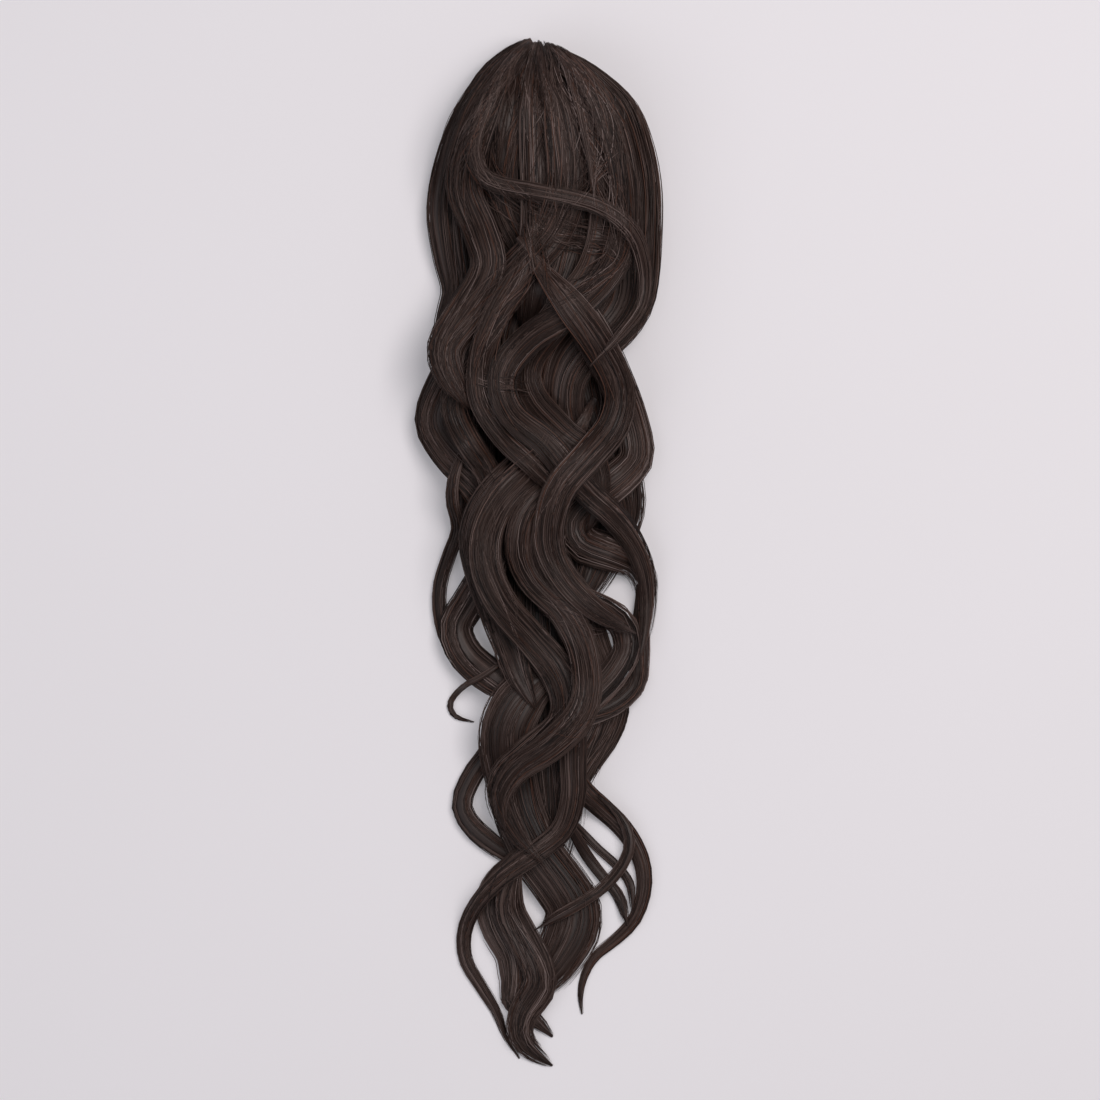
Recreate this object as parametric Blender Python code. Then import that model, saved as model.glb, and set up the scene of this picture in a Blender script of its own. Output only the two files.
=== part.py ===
"""Long wavy ponytail hairpiece on a claw clip, lying front up on a table.

The hair runs along Y, with its crown at +Y and its tips at -Y, and +Z is up from the table.
The clip stands on its prongs under the crown. The locks are laid over it and over each other
one by one, each on whatever already lies below it. All lengths are in metres.
"""
from collections import namedtuple

import bmesh
import bpy
import numpy as np

# Hair
HAIR_LENGTH = 0.560
HAIR_WIDTH = 0.1335
LOCK_WIDTH = 0.022
LOCK_THICKNESS = 0.0082
LOCK_GAP = 0.0003
STATION_SPACING = 0.0125
FEWEST_STATIONS = 12

# Claw clip
CLIP_LENGTH = 0.084
CLIP_WIDTH = 0.046
CLIP_HEIGHT = 0.034
CLIP_WALL = 0.0025
CLIP_FROM_CROWN = 0.020
PRONG_COUNT = 6
PRONG_WIDTH = 0.007
PRONG_LENGTH = 0.010

# How a lock tapers: its root and tip as shares of its full size, and the length of its root
ROOT_SIZE = 0.22
TIP_SIZE = 0.07
ROOT_LENGTH = 0.055

# How a lock lies: steepest run, greatest lean across, sharpest turn against its half width,
# and how far it may dip between two stations
STEEPEST_RUN = 1.60
GREATEST_LEAN = 0.50
SHARPEST_TURN = 0.90
STATION_DIP = 0.0022

SECTION_SIDES = 8
SAMPLE_STEPS = 18
CELL = 0.0008

# A lock's width and thickness are shares of LOCK_WIDTH and LOCK_THICKNESS, and thins is the
# share of its length over which it draws out to its tip. Its bends run from root to tip: along
# is the share of HAIR_LENGTH below the crown, and across is the share of half of HAIR_WIDTH,
# with the right side positive. The locks are in the order they are laid.
Lock = namedtuple("Lock", "name width thickness thins bends")
LOCKS = (
    Lock("under_fall", 2.40, 1.40, 0.30, (
        (0.21, 0.00), (0.32, -0.02), (0.45, 0.00), (0.57, 0.03), (0.66, 0.06), (0.74, 0.10),
        (0.82, 0.12))),
    Lock("under_left_lock", 1.20, 1.30, 0.30, (
        (0.21, -0.36), (0.27, -0.44), (0.34, -0.52), (0.42, -0.54), (0.47, -0.52),
        (0.51, -0.42), (0.56, -0.26))),
    Lock("under_right_lock", 1.30, 1.30, 0.30, (
        (0.21, 0.38), (0.26, 0.46), (0.33, 0.42), (0.40, 0.58), (0.45, 0.66), (0.50, 0.54),
        (0.56, 0.30))),
    Lock("left_crown_lock", 1.50, 1.80, 0.60, (
        (0.005, -0.07), (0.014, -0.20), (0.036, -0.34), (0.07, -0.44), (0.11, -0.58),
        (0.16, -0.67), (0.205, -0.64), (0.245, -0.59), (0.285, -0.68), (0.335, -0.64),
        (0.40, -0.56), (0.46, -0.62))),
    Lock("right_crown_lock", 1.70, 2.00, 0.60, (
        (0.012, 0.10), (0.032, 0.32), (0.07, 0.53), (0.11, 0.66), (0.15, 0.72), (0.20, 0.72),
        (0.25, 0.69), (0.28, 0.54), (0.30, 0.34), (0.335, 0.20), (0.38, 0.24), (0.43, 0.58),
        (0.475, 0.66), (0.515, 0.46))),
    Lock("left_bulge_lock", 0.95, 1.00, 0.30, (
        (0.22, -0.20), (0.29, -0.48), (0.33, -0.73), (0.37, -0.86), (0.40, -0.74),
        (0.425, -0.54), (0.45, -0.40), (0.48, -0.36), (0.52, -0.42))),
    Lock("left_outer_curl", 0.34, 0.60, 0.30, (
        (0.37, -0.44), (0.41, -0.64), (0.445, -0.70), (0.475, -0.65), (0.50, -0.72),
        (0.53, -0.80), (0.56, -0.80), (0.59, -0.72), (0.615, -0.52), (0.64, -0.28),
        (0.67, -0.26))),
    Lock("left_inner_curl", 0.86, 0.90, 0.26, (
        (0.45, -0.20), (0.48, -0.30), (0.515, -0.40), (0.548, -0.56), (0.572, -0.67),
        (0.598, -0.59), (0.618, -0.40), (0.638, -0.16), (0.665, 0.00))),
    Lock("small_left_loop", 0.15, 0.30, 0.26, (
        (0.60, -0.22), (0.617, -0.42), (0.629, -0.60), (0.645, -0.71), (0.658, -0.67),
        (0.664, -0.52))),
    Lock("left_lower_curl", 0.50, 0.80, 0.26, (
        (0.62, -0.02), (0.66, -0.28), (0.69, -0.38), (0.715, -0.53), (0.742, -0.62),
        (0.763, -0.55), (0.782, -0.37), (0.799, -0.16), (0.815, 0.02))),
    Lock("left_nape_lock", 0.70, 0.80, 0.26, (
        (0.27, -0.40), (0.31, -0.56), (0.355, -0.68), (0.39, -0.58), (0.42, -0.42),
        (0.45, -0.36), (0.48, -0.42), (0.52, -0.48))),
    Lock("right_middle_lock", 0.95, 1.00, 0.26, (
        (0.16, 0.00), (0.21, 0.04), (0.24, 0.16), (0.28, 0.40), (0.33, 0.62), (0.37, 0.75),
        (0.405, 0.80), (0.425, 0.68), (0.447, 0.46), (0.47, 0.30), (0.49, 0.36), (0.50, 0.58),
        (0.512, 0.80), (0.535, 0.88), (0.57, 0.84))),
    Lock("right_tail_panel", 1.30, 1.00, 0.35, (
        (0.49, 0.12), (0.55, 0.28), (0.60, 0.42), (0.64, 0.54), (0.67, 0.49), (0.70, 0.36),
        (0.73, 0.25), (0.76, 0.20))),
    Lock("right_fork_lock", 0.60, 0.80, 0.80, (
        (0.66, 0.30), (0.70, 0.28), (0.728, 0.36), (0.745, 0.505), (0.762, 0.66),
        (0.78, 0.775), (0.80, 0.85), (0.822, 0.87), (0.843, 0.835), (0.86, 0.765),
        (0.876, 0.63), (0.892, 0.465), (0.91, 0.38), (0.93, 0.345), (0.948, 0.36))),
    Lock("right_lower_curl", 0.52, 0.70, 0.26, (
        (0.53, 0.82), (0.56, 0.83), (0.60, 0.83), (0.628, 0.80), (0.648, 0.62), (0.66, 0.36),
        (0.68, 0.10), (0.70, -0.04))),
    Lock("right_inner_curl", 0.70, 0.70, 0.26, (
        (0.52, 0.10), (0.54, 0.30), (0.555, 0.53), (0.568, 0.68), (0.592, 0.73), (0.616, 0.62),
        (0.64, 0.44), (0.67, 0.28))),
    Lock("fork_strand_a", 0.24, 0.40, 0.20, (
        (0.744, 0.20), (0.762, 0.30), (0.785, 0.48), (0.803, 0.645), (0.822, 0.76),
        (0.848, 0.77))),
    Lock("fork_strand_b", 0.30, 0.40, 0.20, (
        (0.744, 0.17), (0.768, 0.28), (0.793, 0.40), (0.813, 0.52), (0.834, 0.66),
        (0.862, 0.73))),
    Lock("tail_panel_lock", 1.30, 0.90, 0.22, (
        (0.585, 0.38), (0.61, 0.14), (0.637, -0.12), (0.665, -0.25), (0.69, -0.26),
        (0.72, -0.21), (0.755, -0.14), (0.79, -0.01), (0.82, 0.17), (0.842, 0.28),
        (0.866, 0.27), (0.895, 0.15), (0.92, 0.00), (0.945, -0.07))),
    Lock("tail_left_lock", 0.86, 0.70, 0.35, (
        (0.78, -0.10), (0.81, -0.28), (0.838, -0.38), (0.865, -0.33), (0.89, -0.21),
        (0.915, -0.18), (0.935, -0.20), (0.948, -0.09), (0.959, 0.02), (0.97, 0.12))),
    Lock("tail_middle_lock", 0.84, 0.70, 0.35, (
        (0.79, -0.08), (0.815, -0.20), (0.845, -0.23), (0.873, -0.12), (0.898, -0.01),
        (0.92, 0.02), (0.945, -0.11), (0.965, -0.14), (0.982, -0.06), (0.998, 0.12))),
    Lock("fork_strand_c", 0.26, 0.40, 0.22, (
        (0.735, 0.49), (0.752, 0.65), (0.77, 0.735), (0.787, 0.745), (0.805, 0.68),
        (0.825, 0.53), (0.841, 0.33), (0.853, 0.15), (0.866, -0.03))),
    Lock("tail_cross_lock", 0.68, 0.80, 0.80, (
        (0.60, 0.24), (0.65, 0.30), (0.70, 0.29), (0.735, 0.29), (0.768, 0.20), (0.79, -0.02),
        (0.815, -0.31), (0.84, -0.50), (0.867, -0.60), (0.895, -0.59), (0.92, -0.47),
        (0.945, -0.34), (0.969, -0.265), (0.991, -0.15))),
    Lock("crown_left_strip", 1.20, 0.75, 0.26, (
        (0.003, -0.08), (0.02, -0.15), (0.07, -0.26), (0.125, -0.34), (0.165, -0.30),
        (0.205, -0.14), (0.25, 0.00))),
    Lock("crown_middle_strip", 1.20, 0.75, 0.26, (
        (0.005, -0.02), (0.07, 0.01), (0.13, 0.04), (0.185, 0.04), (0.23, 0.00),
        (0.29, -0.10))),
    Lock("crown_right_strip", 1.20, 0.75, 0.26, (
        (0.008, 0.06), (0.025, 0.18), (0.07, 0.31), (0.125, 0.38), (0.18, 0.38), (0.23, 0.28),
        (0.29, 0.06))),
    Lock("left_panel_lock", 0.88, 0.70, 0.26, (
        (0.36, 0.14), (0.395, 0.02), (0.42, -0.18), (0.45, -0.40), (0.485, -0.51),
        (0.52, -0.45), (0.555, -0.33), (0.59, -0.22), (0.62, -0.14), (0.65, -0.02))),
    Lock("middle_s_lock", 0.85, 0.80, 0.26, (
        (0.35, 0.46), (0.39, 0.28), (0.417, -0.03), (0.445, -0.28), (0.48, -0.42),
        (0.515, -0.42), (0.55, -0.29), (0.582, -0.06), (0.614, 0.16), (0.645, 0.24),
        (0.67, 0.18), (0.694, -0.06), (0.715, -0.26), (0.74, -0.30), (0.775, -0.16),
        (0.80, 0.04))),
    Lock("right_s_lock", 0.78, 0.80, 0.26, (
        (0.39, 0.24), (0.43, 0.12), (0.46, -0.08), (0.495, -0.14), (0.525, -0.04),
        (0.555, 0.20), (0.59, 0.35), (0.63, 0.40), (0.66, 0.32), (0.688, 0.08), (0.71, -0.18),
        (0.74, -0.31), (0.77, -0.26))),
    Lock("left_group_lock", 1.00, 0.80, 0.26, (
        (0.006, 0.00), (0.03, 0.08), (0.08, 0.20), (0.145, 0.24), (0.19, 0.12), (0.23, -0.18),
        (0.27, -0.52), (0.30, -0.70), (0.33, -0.69), (0.36, -0.58))),
    Lock("left_s_lock", 1.00, 0.80, 0.26, (
        (0.004, -0.05), (0.014, -0.16), (0.05, -0.35), (0.10, -0.52), (0.145, -0.60),
        (0.19, -0.46), (0.225, -0.40), (0.265, -0.58), (0.30, -0.76), (0.33, -0.71),
        (0.36, -0.54))),
    Lock("left_ringlet", 0.74, 0.80, 0.26, (
        (0.17, -0.02), (0.23, -0.14), (0.265, -0.32), (0.31, -0.46), (0.35, -0.46),
        (0.385, -0.28), (0.415, -0.02), (0.44, 0.16), (0.47, 0.22))),
    Lock("middle_ringlet", 0.84, 0.80, 0.26, (
        (0.008, 0.06), (0.024, 0.20), (0.07, 0.41), (0.15, 0.54), (0.22, 0.46), (0.27, 0.18),
        (0.315, -0.08), (0.35, -0.05), (0.385, 0.20), (0.405, 0.42), (0.44, 0.50),
        (0.48, 0.40))),
    Lock("right_long_lock", 0.80, 0.80, 0.30, (
        (0.009, 0.10), (0.027, 0.28), (0.06, 0.49), (0.11, 0.65), (0.17, 0.71), (0.22, 0.62),
        (0.26, 0.34), (0.293, -0.06), (0.328, -0.29), (0.365, -0.22), (0.395, 0.08),
        (0.435, 0.36), (0.47, 0.66), (0.505, 0.84), (0.54, 0.90), (0.575, 0.88),
        (0.603, 0.83))),
    Lock("middle_long_lock", 0.78, 0.80, 0.26, (
        (0.195, -0.16), (0.228, 0.04), (0.262, 0.27), (0.30, 0.50), (0.34, 0.66),
        (0.375, 0.62), (0.405, 0.42), (0.435, 0.20), (0.465, 0.11), (0.495, 0.10),
        (0.525, 0.22), (0.55, 0.42), (0.566, 0.62), (0.578, 0.80))),
    Lock("cross_lock", 0.40, 0.50, 0.30, (
        (0.006, -0.07), (0.03, -0.26), (0.08, -0.46), (0.115, -0.52), (0.14, -0.40),
        (0.152, 0.00), (0.165, 0.48), (0.19, 0.76), (0.225, 0.86), (0.26, 0.84), (0.29, 0.66),
        (0.32, 0.42))),
)

# The clip's sections from its crown end to its lower end, as shares of its length, width and
# height, and the right half of its arch from a prong's tip up to the flat top
ClipSection = namedtuple("ClipSection", "along width height")
CLIP_SECTIONS = (
    ClipSection(0.00, 0.56, 0.50),
    ClipSection(0.14, 0.82, 0.80),
    ClipSection(0.32, 1.00, 1.00),
    ClipSection(0.68, 1.00, 1.00),
    ClipSection(0.86, 0.90, 0.86),
    ClipSection(1.00, 0.74, 0.62),
)
ArchPoint = namedtuple("ArchPoint", "across up")
ARCH = (
    ArchPoint(0.86, 0.00),
    ArchPoint(0.96, 0.22),
    ArchPoint(1.00, 0.44),
    ArchPoint(0.90, 0.70),
    ArchPoint(0.64, 0.90),
    ArchPoint(0.26, 1.00),
)

HAIR_COLOUR = (0.030, 0.019, 0.018)
CLIP_COLOUR = (0.012, 0.009, 0.009)


class Pile:
    """Height map of what lies on the table, with one height for each square cell."""

    def __init__(self, width, length):
        rows = int(length / CELL) + 1
        columns = int(width / CELL) + 1
        self.corner = np.array((-width / 2, -length / 2))
        self.top = np.full((rows, columns), -LOCK_GAP)
        self.reach = self.top.copy()

    def cells(self, points, snap):
        index = snap((points[..., :2] - self.corner) / CELL).astype(int)
        row = np.clip(index[..., 1], 0, self.top.shape[0] - 1)
        column = np.clip(index[..., 0], 0, self.top.shape[1] - 1)
        return row, column

    def height(self, points):
        """Highest of the four cells around each point."""
        return self.reach[self.cells(points, np.floor)]

    def cover(self, points):
        """Raises the map to the given points."""
        np.maximum.at(self.top, self.cells(points, np.rint), points[..., 2])
        padded = np.pad(self.top, ((0, 1), (0, 1)), mode="edge")
        rows, columns = self.top.shape
        shifts = [padded[r:r + rows, c:c + columns] for r in range(2) for c in range(2)]
        self.reach = np.maximum.reduce(shifts)


def clear_scene():
    for thing in list(bpy.data.objects):
        bpy.data.objects.remove(thing, do_unlink=True)


def smooth_step(share):
    """Rises from 0 to 1 with level ends."""
    held = np.clip(share, 0.0, 1.0)
    return held * held * (3.0 - 2.0 * held)


def triangle_weights():
    """Corner weights of points spread evenly over a triangle."""
    steps = SAMPLE_STEPS
    return np.array([(i, j, steps - i - j) for i in range(steps + 1)
                     for j in range(steps + 1 - i)]) / steps


def curve_through(points, per_span=16):
    """Catmull-Rom curve: each span leaves and arrives along the chord of its neighbours."""
    held = np.vstack((2 * points[0] - points[1], points, 2 * points[-1] - points[-2]))
    share = np.linspace(0.0, 1.0, per_span, endpoint=False)[:, None]
    spans = []
    for before, start, end, after in zip(held, held[1:], held[2:], held[3:]):
        slope = end - before
        bend = 2 * before - 5 * start + 4 * end - after
        twist = 3 * start - before - 3 * end + after
        spans.append(start + 0.5 * (slope * share + bend * share**2 + twist * share**3))
    return np.vstack(spans + [points[-1:]])


def even_stations(curve):
    """Points at equal steps along a curve, about STATION_SPACING apart."""
    run = np.concatenate(((0.0,), np.cumsum(np.linalg.norm(np.diff(curve, axis=0), axis=1))))
    count = max(FEWEST_STATIONS, round(run[-1] / STATION_SPACING) + 1)
    wanted = np.linspace(0.0, run[-1], count)
    return np.column_stack([np.interp(wanted, run, curve[:, axis]) for axis in range(2)])


def side_directions(stations):
    """Unit vectors across the run, pointing left of the way the lock goes."""
    along = np.gradient(stations, axis=0)
    along /= np.linalg.norm(along, axis=1)[:, None]
    return np.column_stack((-along[:, 1], along[:, 0]))


def turn_radius(stations):
    """Radius of the circle that turns as the run does at each station."""
    along = np.gradient(stations, axis=0)
    heading = np.unwrap(np.arctan2(along[:, 1], along[:, 0]))
    turning = np.abs(np.gradient(heading)) / np.linalg.norm(along, axis=1)
    return 1.0 / np.maximum(turning, 1e-6)


def taper(stations, thins):
    """Lock size along its length: narrow at the root, full, then drawn out to a point."""
    length = np.linalg.norm(np.diff(stations, axis=0), axis=1).sum()
    share = np.linspace(0.0, 1.0, len(stations))
    root = ROOT_SIZE + (1.0 - ROOT_SIZE) * smooth_step(share * max(4.0, length / ROOT_LENGTH))
    tip = np.maximum(TIP_SIZE, np.clip((1.0 - share) / thins, 0.0, 1.0) ** 0.7)
    return root * tip


def smoothed(values):
    """Each value blended with its neighbours, one to two to one."""
    padded = np.pad(values, 1, mode="edge")
    return (padded[:-2] + 2.0 * padded[1:-1] + padded[2:]) / 4.0


def lean_across(pile, stations, sides, half_widths):
    """Slope of the pile across each station, held within GREATEST_LEAN."""
    offsets = np.linspace(-1.0, 1.0, 9)[None, :] * half_widths[:, None]
    points = stations[:, None, :] + offsets[..., None] * sides[:, None, :]
    heights = pile.height(points)
    heights = heights - heights.mean(axis=1, keepdims=True)
    slope = (offsets * heights).sum(axis=1) / (offsets**2).sum(axis=1)
    return smoothed(smoothed(np.clip(slope, -GREATEST_LEAN, GREATEST_LEAN)))


def tube_triangles(stations, sides, lower):
    """Triangles of the upper or lower half of a tube of rings, span by span."""
    half = sides // 2
    first = half if lower else 0
    rows = []
    for span in range(stations - 1):
        for corner in range(first, first + half):
            after = (corner + 1) % sides
            low = span * sides
            high = low + sides
            rows.append((low + corner, low + after, high + after))
            rows.append((low + corner, high + after, high + corner))
    return np.array(rows)


def rest_heights(pile, rings, weights):
    """Lowest height of each station at which the lock clears the pile below it."""
    count, sides = rings.shape[:2]
    under = tube_triangles(count, sides, lower=True)
    corners = rings.reshape(-1, 3)[under]
    samples = np.einsum("sk,tkd->tsd", weights, corners)
    need = pile.height(samples) + LOCK_GAP - samples[..., 2]
    later = (under // sides) - (under.min(axis=1) // sides)[:, None]
    share = later @ weights.T
    need = need.reshape(count - 1, -1)
    share = share.reshape(count - 1, -1)
    height = np.full(count, need.min())
    for span in range(count - 1):
        near = share[span] < 0.5
        height[span] = max(height[span], need[span][near].max())
        height[span + 1] = max(height[span + 1], need[span][~near].max())
    for _ in range(60):
        settled = True
        for span in range(count - 1):
            short = need[span] - (1 - share[span]) * height[span] - share[span] * height[span + 1]
            worst = short.argmax()
            if short[worst] < 1e-7:
                continue
            settled = False
            part = share[span][worst]
            lift = short[worst] / ((1 - part) ** 2 + part**2)
            height[span] += (1 - part) * lift
            height[span + 1] += part * lift
        if settled:
            break
    return height


def stiffen(height, spacing):
    """Lifts stations so that the lock runs no steeper and dips no sharper than hair does."""
    fall = STEEPEST_RUN * spacing
    for _ in range(4 * len(height)):
        before = height.copy()
        height[1:] = np.maximum(height[1:], height[:-1] - fall)
        height[:-1] = np.maximum(height[:-1], height[1:] - fall)
        height[1:-1] = np.maximum(height[1:-1], (height[:-2] + height[2:]) / 2 - STATION_DIP)
        if np.allclose(before, height, atol=1e-7):
            break
    return height


def lay_lock(pile, lock, weights):
    """Rings of a lock that follows its bends and rests on the pile."""
    bends = np.array(lock.bends)
    plan = np.column_stack((bends[:, 1] * HAIR_WIDTH / 2, (0.5 - bends[:, 0]) * HAIR_LENGTH))
    stations = even_stations(curve_through(plan))
    sides = side_directions(stations)
    size = taper(stations, lock.thins)
    half_widths = 0.5 * LOCK_WIDTH * lock.width * size
    half_widths = np.minimum(half_widths, SHARPEST_TURN * turn_radius(stations))
    half_thicknesses = 0.5 * LOCK_THICKNESS * lock.thickness * size
    lean = lean_across(pile, stations, sides, half_widths)

    angles = np.arange(SECTION_SIDES) * 2 * np.pi / SECTION_SIDES
    across = half_widths[:, None] * np.cos(angles)
    up = half_thicknesses[:, None] * np.sin(angles) + lean[:, None] * across
    flat = stations[:, None, :] + across[..., None] * sides[:, None, :]
    rings = np.concatenate((flat, up[..., None]), axis=2)

    spacing = np.linalg.norm(np.diff(stations, axis=0), axis=1).mean()
    rings[..., 2] += stiffen(rest_heights(pile, rings, weights), spacing)[:, None]
    upper = rings.reshape(-1, 3)[tube_triangles(len(stations), SECTION_SIDES, lower=False)]
    pile.cover(np.einsum("sk,tkd->tsd", weights, upper))
    return rings


def clip_rings():
    """Rings of the clip's arched wall: over the outside, then back along the inside."""
    half = np.array(ARCH)
    outside = np.vstack((half, (half * (-1, 1))[::-1]))
    crown_end = HAIR_LENGTH / 2 - CLIP_FROM_CROWN
    rings = []
    for section in CLIP_SECTIONS:
        reach = np.array((section.width * CLIP_WIDTH / 2, section.height * CLIP_HEIGHT))
        outer = outside * reach
        inner = (outside * (reach - CLIP_WALL))[::-1]
        wall = np.vstack((outer, inner))
        y = np.full(len(wall), crown_end - section.along * CLIP_LENGTH)
        rings.append(np.column_stack((wall[:, 0], y, wall[:, 1])))
    return np.array(rings)


def clip_top(rings, weights):
    """Points spread over the outside of the clip."""
    outer = rings[:, :rings.shape[1] // 2]
    quads = (outer[:-1, :-1], outer[:-1, 1:], outer[1:, 1:], outer[1:, :-1])
    a, b, c, d = (quad.reshape(-1, 3) for quad in quads)
    triangles = np.concatenate((np.stack((a, b, c), axis=1), np.stack((a, c, d), axis=1)))
    return np.einsum("sk,tkd->tsd", weights, triangles)


def finish_material(name, colour, roughness, sheen):
    material = bpy.data.materials.new(name)
    material.use_nodes = True
    shader = material.node_tree.nodes["Principled BSDF"]
    shader.inputs["Base Color"].default_value = (*colour, 1.0)
    shader.inputs["Roughness"].default_value = roughness
    shader.inputs["Metallic"].default_value = 0.0
    shader.inputs["Sheen Weight"].default_value = sheen
    material.diffuse_color = (*colour, 1.0)
    return material


def add_object(name, points, faces, collection, material):
    """Object whose origin is its first point and whose faces point outwards."""
    origin = points[0]
    mesh = bpy.data.meshes.new(name)
    mesh.from_pydata((points - origin).tolist(), [], faces)
    shape = bmesh.new()
    shape.from_mesh(mesh)
    bmesh.ops.recalc_face_normals(shape, faces=shape.faces)
    shape.to_mesh(mesh)
    shape.free()
    mesh.materials.append(material)
    thing = bpy.data.objects.new(name, mesh)
    thing.location = origin
    collection.objects.link(thing)
    return thing


def lock_faces(count):
    """Triangles round the rings, and one flat cap at each end."""
    faces = []
    for lower in (False, True):
        faces += tube_triangles(count, SECTION_SIDES, lower).tolist()
    faces.append(list(range(SECTION_SIDES)))
    faces.append(list(range((count - 1) * SECTION_SIDES, count * SECTION_SIDES)))
    return faces


def clip_faces(count, points):
    """Quads round the wall, and strips that close the wall at both ends."""
    faces = []
    for span in range(count - 1):
        low = span * points
        high = low + points
        for corner in range(points):
            after = (corner + 1) % points
            faces.append((low + corner, low + after, high + after, high + corner))
    for end in (0, (count - 1) * points):
        for corner in range(points // 2 - 1):
            inner = points - 1 - corner
            faces.append((end + corner, end + corner + 1, end + inner - 1, end + inner))
    return faces


def cut_prongs(clip, crown_end, cutters):
    """Slots through both walls that leave PRONG_COUNT prongs on each side."""
    slot = (CLIP_LENGTH - PRONG_COUNT * PRONG_WIDTH) / (PRONG_COUNT - 1)
    for number in range(PRONG_COUNT - 1):
        middle = crown_end[1] - (number + 1) * PRONG_WIDTH - (number + 0.5) * slot
        bpy.ops.mesh.primitive_cube_add(size=1.0, location=(crown_end[0], middle, 0.0))
        cutter = bpy.context.active_object
        cutter.name = f"prong_slot_{number + 1}"
        cutter.scale = (2.0 * CLIP_WIDTH, slot, 2.0 * PRONG_LENGTH)
        cutter.hide_render = True
        cutter.display_type = "WIRE"
        for home in list(cutter.users_collection):
            home.objects.unlink(cutter)
        cutters.objects.link(cutter)
        cut = clip.modifiers.new(cutter.name, "BOOLEAN")
        cut.operation = "DIFFERENCE"
        cut.solver = "EXACT"
        cut.object = cutter


def build():
    clear_scene()
    hairpiece = bpy.data.collections.new("ponytail_hairpiece")
    cutters = bpy.data.collections.new("cutters")
    bpy.context.scene.collection.children.link(hairpiece)
    bpy.context.scene.collection.children.link(cutters)

    weights = triangle_weights()
    pile = Pile(2.0 * HAIR_WIDTH, 1.2 * HAIR_LENGTH)
    clip = clip_rings()
    pile.cover(clip_top(clip, weights))
    laid = [(lock.name, lay_lock(pile, lock, weights)) for lock in LOCKS]

    everything = np.vstack([rings.reshape(-1, 3) for _, rings in laid])
    middle = (everything.min(axis=0) + everything.max(axis=0)) / 2
    middle[2] = 0.0

    plastic = finish_material("clip_plastic", CLIP_COLOUR, 0.35, 0.0)
    clip_object = add_object("claw_clip", clip.reshape(-1, 3) - middle,
                             clip_faces(*clip.shape[:2]), hairpiece, plastic)
    crown_end = (-middle[0], clip[0, 0, 1] - middle[1])
    cut_prongs(clip_object, crown_end, cutters)

    fibre = finish_material("hair_fibre", HAIR_COLOUR, 0.45, 0.2)
    for name, rings in laid:
        add_object(name, rings.reshape(-1, 3) - middle, lock_faces(len(rings)), hairpiece, fibre)


build()
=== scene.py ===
"""Looks of a long wavy ponytail hairpiece on a claw clip, lying front up on a pale table."""

import bpy
import numpy as np
from mathutils import Matrix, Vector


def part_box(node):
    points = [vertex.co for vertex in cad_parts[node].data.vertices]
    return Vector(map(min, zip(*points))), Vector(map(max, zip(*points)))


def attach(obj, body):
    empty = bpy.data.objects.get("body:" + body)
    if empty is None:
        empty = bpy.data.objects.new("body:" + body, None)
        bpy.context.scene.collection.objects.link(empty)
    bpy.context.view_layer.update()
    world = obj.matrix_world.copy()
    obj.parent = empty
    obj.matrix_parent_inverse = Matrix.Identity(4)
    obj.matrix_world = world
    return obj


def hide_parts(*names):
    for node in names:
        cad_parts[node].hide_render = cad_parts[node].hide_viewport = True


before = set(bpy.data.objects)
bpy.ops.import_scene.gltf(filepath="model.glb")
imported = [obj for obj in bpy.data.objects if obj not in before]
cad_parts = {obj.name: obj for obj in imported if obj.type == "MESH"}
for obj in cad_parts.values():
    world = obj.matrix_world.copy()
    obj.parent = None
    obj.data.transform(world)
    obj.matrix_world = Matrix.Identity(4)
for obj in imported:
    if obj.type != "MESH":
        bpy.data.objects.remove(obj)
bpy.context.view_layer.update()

# Claw clip: a moulded acetal claw that carries the hair on its back, hidden under the crown.
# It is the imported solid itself, with the satin sheen and faint flow marks of moulded plastic.
CLIP_COLOUR = "#1d1817"
CLIP_MARK = 0.004


def linear(hex_colour):
    """Linear RGBA of an sRGB hex colour: a channel over 0.04 is raised to the power 2.4."""
    channel = np.array([int(hex_colour[i:i + 2], 16) for i in (1, 3, 5)]) / 255
    bright = ((channel + 0.055) / 1.055) ** 2.4
    return (*np.where(channel <= 0.04045, channel / 12.92, bright).tolist(), 1.0)


def add_node(tree, kind, settings=None, inputs=None):
    """Adds a node with its own settings, and its inputs as values or as sockets to link."""
    node = tree.nodes.new(kind)
    for name, value in (settings or {}).items():
        setattr(node, name, value)
    for name, value in (inputs or {}).items():
        if isinstance(value, bpy.types.NodeSocket):
            tree.links.new(value, node.inputs[name])
        else:
            node.inputs[name].default_value = value
    return node


def new_material(name):
    """Material with an empty node tree and its output node."""
    material = bpy.data.materials.new(name)
    material.use_nodes = True
    material.node_tree.nodes.clear()
    output = add_node(material.node_tree, "ShaderNodeOutputMaterial")
    return material, material.node_tree, output


def finish_with(tree, output, shader):
    """Joins a shader to the material's surface."""
    tree.links.new(shader.outputs[0], output.inputs["Surface"])


# Moulded acetal: an even satin black-brown with soft highlights and faint flow marks
acetal, tree, output = new_material("moulded_acetal")
place = add_node(tree, "ShaderNodeTexCoord")
flow = add_node(tree, "ShaderNodeTexNoise", None,
                {"Vector": place.outputs["Object"], "Scale": 1 / CLIP_MARK, "Detail": 4.0})
flow_bump = add_node(tree, "ShaderNodeBump", None,
                     {"Height": flow.outputs["Fac"], "Strength": 0.3, "Distance": 0.0002})
flow_gloss = add_node(tree, "ShaderNodeMapRange", None,
                      {"Value": flow.outputs["Fac"], "To Min": 0.30, "To Max": 0.42})
plastic = add_node(tree, "ShaderNodeBsdfPrincipled", None,
                   {"Base Color": linear(CLIP_COLOUR), "IOR": 1.48,
                    "Roughness": flow_gloss.outputs["Result"],
                    "Normal": flow_bump.outputs["Normal"]})
finish_with(tree, output, plastic)
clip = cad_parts["claw_clip"]
clip.data.materials.clear()
clip.data.materials.append(acetal)


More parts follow.
